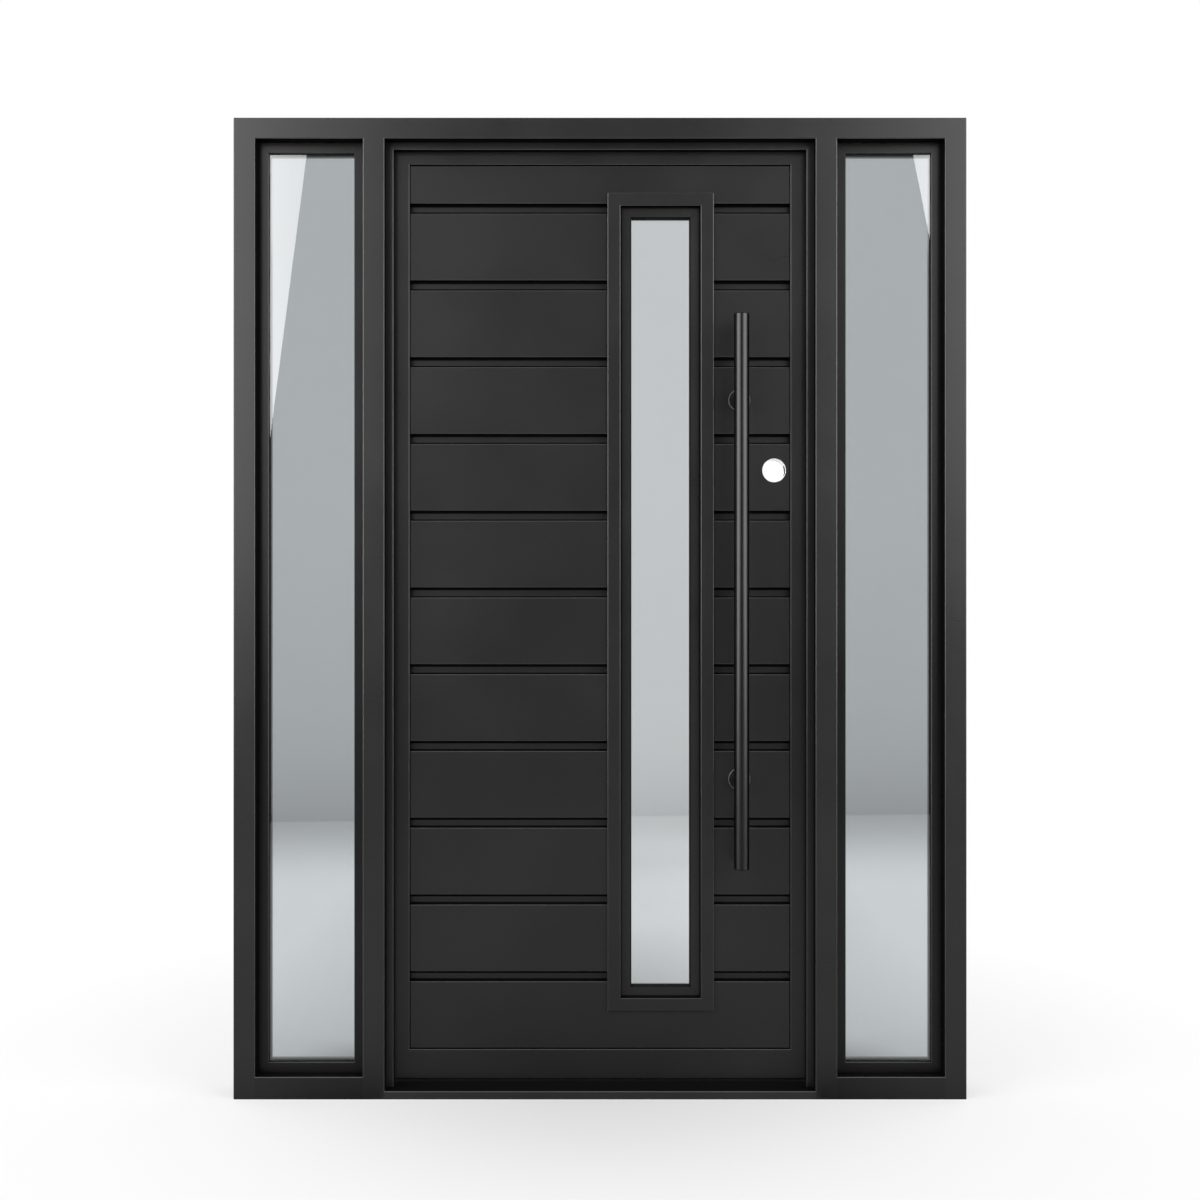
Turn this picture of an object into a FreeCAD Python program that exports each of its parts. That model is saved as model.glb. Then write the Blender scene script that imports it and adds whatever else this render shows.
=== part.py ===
import FreeCAD, Part
import os

from FreeCAD import Rotation, Vector

# Steel entry unit: one leaf that opens inwards between two fixed sidelights.
# X runs to the right, the exterior looks towards -Y, Z is up from the floor.

# Outer frame of rectangular steel tube.
frame_depth = 114.0
jamb_face = 46.0
mullion_face = 46.0
head_face = 44.5
sidelight_sill_height = 47.5
threshold_height = 17.0
door_opening_width = 920.0
sidelight_opening_width = 230.0
opening_top = 2049.5
arris_radius = 2.0

# Door stop on the exterior side of the leaf, with a soft seal behind it.
stop_width = 15.5
stop_setback = 33.0
stop_depth = 17.0
seal_width = 9.0
seal_edge_inset = 1.5
soft_gap = 0.3

# Sidelight glazing, held between mitred beads.
bead_width = 23.0
bead_setback = 33.0
sidelight_glass_setback = 41.0
sidelight_glass_thickness = 25.0
sidelight_rear_bead_depth = 20.0
glass_edge_clearance = 3.0
glazing_gap = 0.3
mitre_gap = 0.3
bead_chamfer = 1.5

# Leaf: perimeter of stiles and rails around horizontal planks.
leaf_setback = 55.0
leaf_thickness = 57.0
leaf_side_gap = 5.5
leaf_top_gap = 5.2
lock_edge_bevel = 3.0
stile_width = 42.0
top_rail_height = 36.7
bottom_rail_height = 63.0
bottom_rail_clearance = 12.3
sweep_clearance = 5.0
sweep_thickness = 33.0
sweep_end_inset = 6.0

# Planks stand back from the perimeter, with square grooves between the rows.
plank_setback = 2.75
plank_end_gap = 2.0
groove_pitch = 166.4
groove_height = 21.7
groove_depth = 18.0
first_groove_above_rail = 157.0
least_top_row = 60.0

# Narrow light in the leaf, in a raised surround.
light_centre_x = 131.3
light_outer_width = 230.6
light_above_rail = 82.5
light_below_rail = 60.9
surround_width = 28.5
surround_proud = 3.0
light_bead_width = 23.0
light_bead_step = 15.0
light_quirk_width = 3.2
light_quirk_depth = 4.0
light_glass_thickness = 12.0

# Long round pull bar on two round posts.
pull_radius = 16.0
pull_length = 1184.0
pull_centre_x = 301.7
pull_centre_above_rail = 990.8
pull_axis_proud = 4.5
pull_end_chamfer = 1.2
post_spacing = 820.0
post_rise = 4.2
post_radius = 9.5
rose_radius = 23.75
rose_thickness = 5.0
rose_edge_chamfer = 1.2
saddle_gap = 0.1

# Lock preparation: cross bore, latch bore from the edge, and seats for latch plate and strike.
lock_bore_radius = 25.4
lock_backset = 75.8
lock_above_rail = 1253.5
latch_bore_radius = 12.7
faceplate_height = 57.2
faceplate_width = 25.4
faceplate_depth = 2.5
strike_height = 69.9
strike_width = 28.6
strike_depth = 2.5
bolt_pocket_height = 38.0
bolt_pocket_width = 20.0
bolt_pocket_depth = 22.0

# Surface hinges on the interior face.
hinge_height = 114.0
hinge_knuckle_radius = 7.0
hinge_pin_radius = 4.0
hinge_pin_gap = 0.1
hinge_knuckle_gap = 0.3
hinge_middle_share = 40.0
hinge_plate_thickness = 4.0
hinge_frame_plate_width = 38.0
hinge_leaf_plate_width = 33.0
hinge_plate_clearance = 1.25
hinge_plate_corner_radius = 6.0
hinge_from_leaf_top = 245.0
hinge_from_leaf_bottom = 284.0

# Planes and edges that follow from the sizes above.
front = -frame_depth / 2
rear = frame_depth / 2
door_half = door_opening_width / 2
sidelight_inner = door_half + mullion_face
sidelight_outer = sidelight_inner + sidelight_opening_width
half_width = sidelight_outer + jamb_face
unit_height = opening_top + head_face

leaf_half = door_half - leaf_side_gap
leaf_front = front + leaf_setback
leaf_rear = leaf_front + leaf_thickness
leaf_middle = (leaf_front + leaf_rear) / 2
leaf_top = opening_top - leaf_top_gap
leaf_bottom = threshold_height + bottom_rail_clearance

panel_half = leaf_half - stile_width
panel_bottom = leaf_bottom + bottom_rail_height
panel_top = leaf_top - top_rail_height
first_groove = panel_bottom + first_groove_above_rail
groove_count = 1 + int((panel_top - least_top_row - first_groove) // groove_pitch)
plank_front = leaf_front + plank_setback
plank_rear = leaf_rear - plank_setback

light_left = light_centre_x - light_outer_width / 2
light_right = light_centre_x + light_outer_width / 2
light_bottom = panel_bottom + light_above_rail
light_top = panel_top - light_below_rail
surround_front = leaf_front - surround_proud
surround_rear = leaf_rear + surround_proud

stop_front = front + stop_setback
stop_rear = stop_front + stop_depth

pull_axis_y = front - pull_axis_proud
pull_centre_z = panel_bottom + pull_centre_above_rail
lock_bore_x = leaf_half - lock_backset - lock_edge_bevel / 2
lock_bore_z = panel_bottom + lock_above_rail

hinge_axis_x = -(door_half + leaf_half) / 2
hinge_axis_y = rear + hinge_knuckle_radius

tolerance = 1e-6


def block(x0, x1, y0, y1, z0, z1):
    """A box between two limits on each axis."""
    return Part.makeBox(x1 - x0, y1 - y0, z1 - z0, Vector(x0, y0, z0))


def cylinder(radius, start, end):
    """A round bar from one point to another."""
    run = end - start
    return Part.makeCylinder(radius, run.Length, start, run)


def edges_in_plane(shape, y, lowest=None):
    """Edges that lie in the plane at y, leaving out those at the lowest level."""
    found = []
    for edge in shape.Edges:
        points = [vertex.Point for vertex in edge.Vertexes]
        if any(abs(point.y - y) > tolerance for point in points):
            continue
        if lowest is not None and all(abs(point.z - lowest) < tolerance for point in points):
            continue
        found.append(edge)
    return found


def bevel(shape, size, y):
    """Chamfer the arrises that lie in the plane at y."""
    return shape.makeChamfer(size, edges_in_plane(shape, y))


def soften(shape, radius, planes, lowest=None):
    """Round the arrises that lie in the given planes."""
    edges = []
    for y in planes:
        edges += edges_in_plane(shape, y, lowest)
    return shape.makeFillet(radius, edges)


def only_solid(shape):
    """The single solid that a cut or common leaves."""
    return shape.Solids[0]


def frame_blank():
    """The welded frame in one piece, with its arrises rounded through every corner."""
    blank = block(-half_width, half_width, front, rear, 0, unit_height)
    openings = [block(-door_half, door_half, front, rear, threshold_height, opening_top)]
    for side in (-1, 1):
        near, far = sorted((side * sidelight_inner, side * sidelight_outer))
        openings.append(block(near, far, front, rear, sidelight_sill_height, opening_top))
    return soften(blank.cut(openings), arris_radius, (front, rear), lowest=0)


def frame_members():
    """The frame divided into its tubes, with the uprights running through."""
    blank = frame_blank()
    limits = {
        "left_jamb": (-half_width, -sidelight_outer, 0, unit_height),
        "right_jamb": (sidelight_outer, half_width, 0, unit_height),
        "head": (-sidelight_outer, sidelight_outer, opening_top, unit_height),
        "left_mullion": (-sidelight_inner, -door_half, 0, opening_top),
        "right_mullion": (door_half, sidelight_inner, 0, opening_top),
        "left_sill": (-sidelight_outer, -sidelight_inner, 0, sidelight_sill_height),
        "right_sill": (sidelight_inner, sidelight_outer, 0, sidelight_sill_height),
        "threshold": (-door_half, door_half, 0, threshold_height),
    }
    members = {}
    for name, (x0, x1, z0, z1) in limits.items():
        members[name] = only_solid(blank.common(block(x0, x1, front, rear, z0, z1)))
    members["right_mullion"] = members["right_mullion"].cut(strike_recess())
    return members


def edge_recess(x0, x1, width, height):
    """A recess at lock height, centred on the thickness of the leaf."""
    return block(x0, x1, leaf_middle - width / 2, leaf_middle + width / 2,
                 lock_bore_z - height / 2, lock_bore_z + height / 2)


def strike_recess():
    """Seat of the strike plate in the mullion, with a pocket for the bolt behind it."""
    seat_x = door_half + strike_depth
    return [
        edge_recess(door_half, seat_x, strike_width, strike_height),
        edge_recess(seat_x, seat_x + bolt_pocket_depth, bolt_pocket_width, bolt_pocket_height),
    ]


def stop_blank():
    """The door stop in one piece round the two sides and the head."""
    outer = block(-door_half, door_half, stop_front, stop_rear, threshold_height, opening_top)
    inner_half = door_half - stop_width
    inner = block(-inner_half, inner_half, stop_front, stop_rear, threshold_height, opening_top - stop_width)
    ring = outer.cut(inner)
    edges = [edge for edge in edges_in_plane(ring, stop_front)
             if all(abs(v.Point.x) < door_half - tolerance for v in edge.Vertexes)
             and any(v.Point.z > threshold_height + tolerance for v in edge.Vertexes)]
    return ring.makeFillet(arris_radius, edges)


def door_stops():
    """Side stops up to the head stop, which runs across."""
    ring = stop_blank()
    inner_half = door_half - stop_width
    under_head = opening_top - stop_width
    span = (stop_front, stop_rear)
    return {
        "door_stop_left": only_solid(ring.common(block(-door_half, -inner_half, *span, 0, under_head))),
        "door_stop_right": only_solid(ring.common(block(inner_half, door_half, *span, 0, under_head))),
        "door_stop_head": only_solid(ring.common(block(-door_half, door_half, *span, under_head, opening_top))),
    }


def weatherstrip():
    """Soft seals on the back of the stops, just clear of the closed leaf."""
    outer = door_half - seal_edge_inset
    inner = outer - seal_width
    top = opening_top - seal_edge_inset
    span = (stop_rear, leaf_front - soft_gap)
    return Part.makeCompound([
        block(-outer, -inner, *span, threshold_height, top - seal_width - soft_gap),
        block(inner, outer, *span, threshold_height, top - seal_width - soft_gap),
        block(-outer, outer, *span, top - seal_width, top),
    ])


def mitred_ring(x0, x1, z0, z1, width, y0, y1, exposed_y):
    """Four bars round an opening, chamfered on the exposed face and cut at the mitres."""
    ring = block(x0, x1, y0, y1, z0, z1)
    ring = ring.cut(block(x0 + width, x1 - width, y0, y1, z0 + width, z1 - width))
    ring = bevel(ring, bead_chamfer, exposed_y)
    kerfs = []
    for x, z, turn in ((x0, z0, -45), (x1, z0, -135), (x1, z1, 135), (x0, z1, 45)):
        kerf = block(0, width * 2, y0, y1, -mitre_gap / 2, mitre_gap / 2)
        kerf.Placement = FreeCAD.Placement(Vector(x, 0, z), Rotation(Vector(0, 1, 0), turn))
        kerfs.append(kerf)
    return Part.makeCompound(ring.cut(kerfs).Solids)


def sidelight(side):
    """Glass and beads of one sidelight: side is -1 on the left and 1 on the right."""
    x0, x1 = sorted((side * sidelight_inner, side * sidelight_outer))
    z0, z1 = sidelight_sill_height, opening_top
    glass_front = front + sidelight_glass_setback
    glass_rear = glass_front + sidelight_glass_thickness
    bead_front = front + bead_setback
    bead_rear = glass_rear + glazing_gap + sidelight_rear_bead_depth
    clear = glass_edge_clearance
    return {
        "glass": block(x0 + clear, x1 - clear, glass_front, glass_rear, z0 + clear, z1 - clear),
        "beads_exterior": mitred_ring(x0, x1, z0, z1, bead_width, bead_front,
                                      glass_front - glazing_gap, bead_front),
        "beads_interior": mitred_ring(x0, x1, z0, z1, bead_width, glass_rear + glazing_gap,
                                      bead_rear, bead_rear),
    }


def leaf_perimeter():
    """Stiles and rails, made in one piece, bevelled on the lock edge, then divided."""
    blank = block(-leaf_half, leaf_half, leaf_front, leaf_rear, leaf_bottom, leaf_top)
    blank = blank.cut(block(-panel_half, panel_half, leaf_front, leaf_rear, panel_bottom, panel_top))
    corners = [(leaf_half - lock_edge_bevel, leaf_front), (leaf_half, leaf_front), (leaf_half, leaf_rear)]
    points = [Vector(x, y, leaf_bottom) for x, y in corners]
    wedge = Part.Face(Part.makePolygon(points + points[:1]))
    blank = blank.cut(wedge.extrude(Vector(0, 0, leaf_top - leaf_bottom)))
    blank = soften(blank, arris_radius, (leaf_front, leaf_rear))
    limits = {
        "hinge_stile": (-leaf_half, -panel_half, leaf_bottom, leaf_top),
        "lock_stile": (panel_half, leaf_half, leaf_bottom, leaf_top),
        "top_rail": (-panel_half, panel_half, panel_top, leaf_top),
        "bottom_rail": (-panel_half, panel_half, leaf_bottom, panel_bottom),
    }
    members = {}
    for name, (x0, x1, z0, z1) in limits.items():
        members[name] = only_solid(blank.common(block(x0, x1, leaf_front, leaf_rear, z0, z1)))
    members["lock_stile"] = members["lock_stile"].cut([latch_bore(), faceplate_recess()])
    return members


def latch_bore():
    """Round bore from the lock edge to the cross bore."""
    start = Vector(lock_bore_x, leaf_middle, lock_bore_z)
    return cylinder(latch_bore_radius, start, start + Vector(lock_backset * 2, 0, 0))


def faceplate_recess():
    """Seat of the latch plate in the bevelled lock edge."""
    seat_x = leaf_half - lock_edge_bevel / 2 - faceplate_depth
    return edge_recess(seat_x, door_half, faceplate_width, faceplate_height)


def cross_bore():
    """Round bore through the leaf for the lock."""
    start = Vector(lock_bore_x, front, lock_bore_z)
    return cylinder(lock_bore_radius, start, start + Vector(0, frame_depth * 2, 0))


def row_limits():
    """Lower and upper edge of the face boards in each row, from the bottom."""
    grooves = [first_groove + groove_pitch * i for i in range(groove_count)]
    lows = [panel_bottom + plank_end_gap] + [z + groove_height / 2 for z in grooves]
    highs = [z - groove_height / 2 for z in grooves] + [panel_top - plank_end_gap]
    return list(zip(lows, highs))


def core_limits(index):
    """Lower and upper edge of a row's core, which also closes the groove under the row."""
    rows = row_limits()
    low = rows[index - 1][1] if index else panel_bottom
    high = rows[index][1] if index < groove_count else panel_top
    return low, high


def light_cutout():
    """The space that the surround of the light fills, right through the leaf."""
    return block(light_left, light_right, surround_front, surround_rear, light_bottom, light_top)


def face_board(x0, x1, z0, z1, y0, y1, exposed_y):
    """One face board: its long arrises are rounded and its ends are cut square."""
    board = block(x0, x1, y0, y1, z0, z1)
    arrises = [edge for edge in edges_in_plane(board, exposed_y)
               if abs(edge.Vertexes[0].Point.x - edge.Vertexes[1].Point.x) > tolerance]
    return board.makeFillet(arris_radius, arrises).cut(light_cutout())


def plank(x0, x1, index):
    """One row piece between two sides: a core with a face board on each side."""
    low, high = row_limits()[index]
    core_low, core_high = core_limits(index)
    core_front = plank_front + groove_depth
    core_rear = plank_rear - groove_depth
    board_x0 = x0 + (plank_end_gap if x0 == -panel_half else 0)
    board_x1 = x1 - (plank_end_gap if x1 == panel_half else 0)
    core = block(x0, x1, core_front, core_rear, core_low, core_high).cut(light_cutout())
    boards = [
        face_board(board_x0, board_x1, low, high, plank_front, core_front, plank_front),
        face_board(board_x0, board_x1, low, high, core_rear, plank_rear, plank_rear),
    ]
    return only_solid(core.fuse(boards).removeSplitter())


def plank_rows():
    """Rows numbered from the bottom; the one with the lock bore keeps its right piece apart."""
    pieces = {}
    for index in range(groove_count + 1):
        name = "plank_row_%02d" % (index + 1)
        low, high = core_limits(index)
        if low < light_bottom or high > light_top:
            pieces[name] = plank(-panel_half, panel_half, index)
            continue
        left = plank(-panel_half, light_left, index)
        right = plank(light_right, panel_half, index)
        if low < lock_bore_z <= high:
            pieces["lock_plank"] = right.cut([cross_bore(), latch_bore()])
            pieces[name] = left
        else:
            pieces[name] = Part.makeCompound([left, right])
    return pieces


def quirk(x0, x1, z0, z1, y0, y1):
    """Narrow sunk line round the outside of the light's beads."""
    width = light_quirk_width
    ring = block(x0, x1, y0, y1, z0, z1)
    return ring.cut(block(x0 + width, x1 - width, y0, y1, z0 + width, z1 - width))


def light():
    """Surrounds, beads and glass of the light in the leaf."""
    sides = {
        "exterior": (surround_front, leaf_middle - glazing_gap / 2, surround_front),
        "interior": (leaf_middle + glazing_gap / 2, surround_rear, surround_rear),
    }
    pieces = {}
    inner_left = light_left + surround_width
    inner_right = light_right - surround_width
    inner_bottom = light_bottom + surround_width
    inner_top = light_top - surround_width
    for name, (y0, y1, exposed_y) in sides.items():
        ring = block(light_left, light_right, y0, y1, light_bottom, light_top)
        ring = ring.cut(block(inner_left, inner_right, y0, y1, inner_bottom, inner_top))
        pieces["light_surround_" + name] = soften(ring, arris_radius, (exposed_y,))
    glass_front = leaf_middle - light_glass_thickness / 2
    glass_rear = leaf_middle + light_glass_thickness / 2
    bead_front = surround_front + light_bead_step
    bead_rear = surround_rear - light_bead_step
    opening = (inner_left, inner_right, inner_bottom, inner_top)
    beads = {
        "exterior": (bead_front, glass_front - glazing_gap, bead_front, bead_front + light_quirk_depth),
        "interior": (glass_rear + glazing_gap, bead_rear, bead_rear, bead_rear - light_quirk_depth),
    }
    for name, (y0, y1, exposed_y, quirk_y) in beads.items():
        ring = mitred_ring(*opening, light_bead_width, y0, y1, exposed_y)
        pieces["light_beads_" + name] = ring.cut(quirk(*opening, *sorted((exposed_y, quirk_y))))
    clear = glass_edge_clearance
    pieces["light_glass"] = block(inner_left + clear, inner_right - clear, glass_front, glass_rear,
                                  inner_bottom + clear, inner_top - clear)
    return pieces


def pull_bar():
    """Round bar with chamfered ends."""
    centre = Vector(pull_centre_x, pull_axis_y, pull_centre_z)
    half = Vector(0, 0, pull_length / 2)
    bar = cylinder(pull_radius, centre - half, centre + half)
    rims = [edge for edge in bar.Edges if len(edge.Vertexes) == 1]
    return bar.makeChamfer(pull_end_chamfer, rims)


def pull_posts():
    """Two turned posts with roses, from the boards to the back of the bar."""
    posts = []
    axis_drop = cylinder(pull_radius + saddle_gap, Vector(pull_centre_x, pull_axis_y, 0),
                         Vector(pull_centre_x, pull_axis_y, unit_height))
    for side in (-1, 1):
        z = pull_centre_z + post_rise + side * post_spacing / 2
        seat = Vector(pull_centre_x, plank_front, z)
        rose = cylinder(rose_radius, seat, seat - Vector(0, rose_thickness, 0))
        rim = [edge for edge in rose.Edges if len(edge.Vertexes) == 1
               and abs(edge.Vertexes[0].Point.y - plank_front) > tolerance]
        rose = rose.makeChamfer(rose_edge_chamfer, rim)
        post = cylinder(post_radius, seat, Vector(pull_centre_x, pull_axis_y, z)).cut(axis_drop)
        posts.append(only_solid(rose.fuse(post)))
    return Part.makeCompound(posts)


def door_sweep():
    """Soft sweep under the bottom rail."""
    y0 = leaf_middle - sweep_thickness / 2
    half = leaf_half - sweep_end_inset
    return block(-half, half, y0, y0 + sweep_thickness, threshold_height + sweep_clearance, leaf_bottom)


def hinge_centres():
    """Heights of the three hinges."""
    low = leaf_bottom + hinge_from_leaf_bottom
    high = leaf_top - hinge_from_leaf_top
    return (low, (low + high) / 2, high)


def upright(radius, z0, z1):
    """A round bar on the hinge axis."""
    return cylinder(radius, Vector(hinge_axis_x, hinge_axis_y, z0), Vector(hinge_axis_x, hinge_axis_y, z1))


def hinge_plate(x0, x1, y0, y1, z0, z1, outer_x):
    """A flat plate with round corners on the side away from the knuckles."""
    plate = block(x0, x1, y0, y1, z0, z1)
    corners = [edge for edge in plate.Edges
               if all(abs(v.Point.x - outer_x) < tolerance for v in edge.Vertexes)
               and abs(edge.Vertexes[0].Point.y - edge.Vertexes[1].Point.y) > tolerance]
    return plate.makeFillet(hinge_plate_corner_radius, corners)


def frame_hinge(z):
    """Plate on the mullion, its two outer knuckles and the pin."""
    half = hinge_height / 2
    middle = hinge_middle_share / 2 + hinge_knuckle_gap
    plate_y = rear + hinge_plate_thickness
    plate_x1 = hinge_axis_x - hinge_knuckle_radius + hinge_plate_clearance
    plate = hinge_plate(plate_x1 - hinge_frame_plate_width, plate_x1, rear, plate_y,
                        z - half, z + half, plate_x1 - hinge_frame_plate_width)
    keep_clear = upright(hinge_knuckle_radius + hinge_plate_clearance, z - middle, z + middle)
    pieces = [upright(hinge_pin_radius, z - middle, z + middle)]
    for z0, z1 in ((z - half, z - middle), (z + middle, z + half)):
        pieces.append(upright(hinge_knuckle_radius, z0, z1))
        pieces.append(block(plate_x1, hinge_axis_x, rear, plate_y, z0, z1))
    return only_solid(plate.cut(keep_clear).fuse(pieces).removeSplitter())


def leaf_hinge(z):
    """Plate on the leaf and its middle knuckle, bored for the pin."""
    half = hinge_height / 2
    middle = hinge_middle_share / 2
    plate_y = rear + hinge_plate_thickness
    plate_x0 = hinge_axis_x + hinge_knuckle_radius + hinge_plate_clearance
    plate_x1 = plate_x0 + hinge_leaf_plate_width
    plate = hinge_plate(plate_x0, plate_x1, leaf_rear, plate_y, z - half, z + half, plate_x1)
    knuckle = upright(hinge_knuckle_radius, z - middle, z + middle)
    neck = block(hinge_axis_x, plate_x0, rear, plate_y, z - middle, z + middle)
    bore = upright(hinge_pin_radius + hinge_pin_gap, z - half, z + half)
    return only_solid(plate.fuse([knuckle, neck]).cut(bore).removeSplitter())


def build():
    """Every piece of the unit, by node name."""
    pieces = frame_members()
    pieces.update(door_stops())
    pieces["weatherstrip"] = weatherstrip()
    for name, side in (("left", -1), ("right", 1)):
        for part, shape in sidelight(side).items():
            pieces["%s_sidelight_%s" % (name, part)] = shape
    pieces.update(leaf_perimeter())
    pieces.update(plank_rows())
    pieces.update(light())
    pieces["pull_bar"] = pull_bar()
    pieces["pull_posts"] = pull_posts()
    pieces["door_sweep"] = door_sweep()
    pieces["frame_hinges"] = Part.makeCompound([frame_hinge(z) for z in hinge_centres()])
    pieces["leaf_hinges"] = Part.makeCompound([leaf_hinge(z) for z in hinge_centres()])
    return pieces


os.makedirs("parts", exist_ok=True)
for node, shape in build().items():
    shape.exportStep(os.path.join("parts", node + ".step"))
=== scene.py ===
import math

import bmesh
import bpy
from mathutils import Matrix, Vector


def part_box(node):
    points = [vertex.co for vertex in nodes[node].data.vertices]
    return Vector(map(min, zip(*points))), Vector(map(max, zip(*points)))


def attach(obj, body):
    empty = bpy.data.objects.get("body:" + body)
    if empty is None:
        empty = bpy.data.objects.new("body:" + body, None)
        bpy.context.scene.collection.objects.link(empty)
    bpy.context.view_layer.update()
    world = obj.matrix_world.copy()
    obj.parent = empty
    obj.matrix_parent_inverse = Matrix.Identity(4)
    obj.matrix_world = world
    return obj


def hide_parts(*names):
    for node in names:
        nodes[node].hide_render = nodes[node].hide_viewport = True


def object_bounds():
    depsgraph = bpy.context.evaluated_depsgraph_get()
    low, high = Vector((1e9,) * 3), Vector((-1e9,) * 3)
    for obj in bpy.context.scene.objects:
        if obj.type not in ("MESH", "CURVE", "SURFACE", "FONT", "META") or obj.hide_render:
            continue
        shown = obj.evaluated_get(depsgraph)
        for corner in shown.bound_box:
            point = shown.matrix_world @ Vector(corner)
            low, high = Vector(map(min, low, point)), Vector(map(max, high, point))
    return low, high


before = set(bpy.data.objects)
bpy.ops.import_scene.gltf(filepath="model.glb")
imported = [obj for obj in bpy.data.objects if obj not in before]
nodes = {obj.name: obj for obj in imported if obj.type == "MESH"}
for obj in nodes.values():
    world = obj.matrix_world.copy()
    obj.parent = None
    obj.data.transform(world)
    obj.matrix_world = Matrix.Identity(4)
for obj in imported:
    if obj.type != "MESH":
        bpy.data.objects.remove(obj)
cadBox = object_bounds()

millimetre = 0.001  # the scene is in metres, the sizes of the added pieces are in millimetres


# Shader maths: a Wire is one output socket, and arithmetic on it adds Math nodes.
class Wire:
    def __init__(self, tree, socket):
        self.tree = tree
        self.socket = socket

    def maths(self, operation, first, second=None):
        node = self.tree.nodes.new("ShaderNodeMath")
        node.operation = operation
        for slot, value in zip(node.inputs, (first, second)):
            if isinstance(value, Wire):
                self.tree.links.new(value.socket, slot)
            elif value is not None:
                slot.default_value = value
        return Wire(self.tree, node.outputs[0])

    def __add__(self, other):
        return self.maths("ADD", self, other)

    def __radd__(self, other):
        return self.maths("ADD", other, self)

    def __sub__(self, other):
        return self.maths("SUBTRACT", self, other)

    def __rsub__(self, other):
        return self.maths("SUBTRACT", other, self)

    def __mul__(self, other):
        return self.maths("MULTIPLY", self, other)

    def __rmul__(self, other):
        return self.maths("MULTIPLY", other, self)

    def __truediv__(self, other):
        return self.maths("DIVIDE", self, other)

    def __rtruediv__(self, other):
        return self.maths("DIVIDE", other, self)

    def __mod__(self, other):
        return self.maths("FLOORED_MODULO", self, other)

    def __rmod__(self, other):
        return self.maths("FLOORED_MODULO", other, self)

    def __abs__(self):
        return self.maths("ABSOLUTE", self)

    def atLeast(self, other):
        return self.maths("MAXIMUM", self, other)

    def atMost(self, other):
        return self.maths("MINIMUM", self, other)

    def below(self, other):
        return self.maths("LESS_THAN", self, other)


def grey(value):
    return (value, value, value, 1.0)


# The stops of a colour ramp are pairs of a place and a shade.
def setStops(elements, stops):
    for element in list(elements)[1:]:
        elements.remove(element)
    for step, (place, shade) in enumerate(stops):
        element = elements[0] if step == 0 else elements.new(place)
        element.position = place
        element.color = grey(shade)


# One material or world. Every node that is not plain arithmetic comes from add().
class Recipe:
    def __init__(self, owner):
        owner.use_nodes = True
        self.owner = owner
        self.tree = owner.node_tree
        self.tree.nodes.clear()

    def add(self, kind, settings=None, sockets=None, output=0):
        node = self.tree.nodes.new(kind)
        for key, value in (settings or {}).items():
            if key == "stops":
                setStops(node.color_ramp.elements, value)
            else:
                setattr(node, key, value)
        for key, value in (sockets or {}).items():
            if isinstance(value, Wire):
                self.tree.links.new(value.socket, node.inputs[key])
            else:
                node.inputs[key].default_value = value
        return Wire(self.tree, node.outputs[output]) if node.outputs else node

    def texture(self, kind):
        outputs = {"normal": 1, "object": 3}
        return self.add("ShaderNodeTexCoord", output=outputs[kind])

    def ray(self, kind):
        outputs = {"camera": 0, "glossy": 3, "transmission": 6}
        return self.add("ShaderNodeLightPath", output=outputs[kind])

    # One coordinate of a vector: 0 x, 1 y, 2 z.
    def along(self, vector, axis):
        return self.add("ShaderNodeSeparateXYZ", None, {0: vector}, axis)

    def stretched(self, vector, scale):
        return self.add("ShaderNodeVectorMath", {"operation": "MULTIPLY"}, {0: vector, 1: scale})

    def length(self, vector):
        return self.add("ShaderNodeVectorMath", {"operation": "LENGTH"}, {0: vector}, 1)

    def noise(self, at, scale, detail, rough=0.5):
        return self.add("ShaderNodeTexNoise", None,
                        {"Vector": at, "Scale": scale, "Detail": detail, "Roughness": rough})

    def ramp(self, stops, factor):
        return self.add("ShaderNodeValToRGB", {"stops": stops}, {"Fac": factor})

    def mixColour(self, factor, low, high):
        return self.add("ShaderNodeMix", {"data_type": "RGBA"}, {0: factor, 6: low, 7: high}, 2)

    # 1 where a surface turns between the flat sides of a member, 0 on the flats.
    def arris(self, width):
        normal = self.texture("normal")
        x, y, z = (abs(self.along(normal, axis)) for axis in range(3))
        return ((1.0 - x.atLeast(y).atLeast(z)) / width).atMost(1.0)

    # 1 on faces that look along an axis, 0 on the others.
    def facing(self, axis, least=0.5):
        return 1 - abs(self.along(self.texture("normal"), axis)).below(least)

    # 1 within a distance of a plane across an axis.
    def within(self, at, axis, middle, reach):
        return abs(self.along(at, axis) - middle).below(reach)

    def bump(self, strength, depth, height):
        return self.add("ShaderNodeBump", None,
                        {"Strength": strength, "Distance": depth, "Height": height})

    def principled(self, sockets):
        return self.add("ShaderNodeBsdfPrincipled", None, sockets)

    def emission(self, colour, strength):
        return self.add("ShaderNodeEmission", None, {"Color": colour, "Strength": strength})

    # Light whose shade varies from black to white, at one strength.
    def glow(self, shade, strength):
        return self.emission(self.mixColour(shade, grey(0.0), grey(1.0)), strength)

    def mixShader(self, factor, first, second):
        return self.add("ShaderNodeMixShader", None, {0: factor, 1: first, 2: second})

    def surface(self, shader):
        world = isinstance(self.owner, bpy.types.World)
        self.add("ShaderNodeOutputWorld" if world else "ShaderNodeOutputMaterial", None,
                 {"Surface": shader})
        return self.owner


def newRecipe(name):
    return Recipe(bpy.data.materials.new(name))


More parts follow.
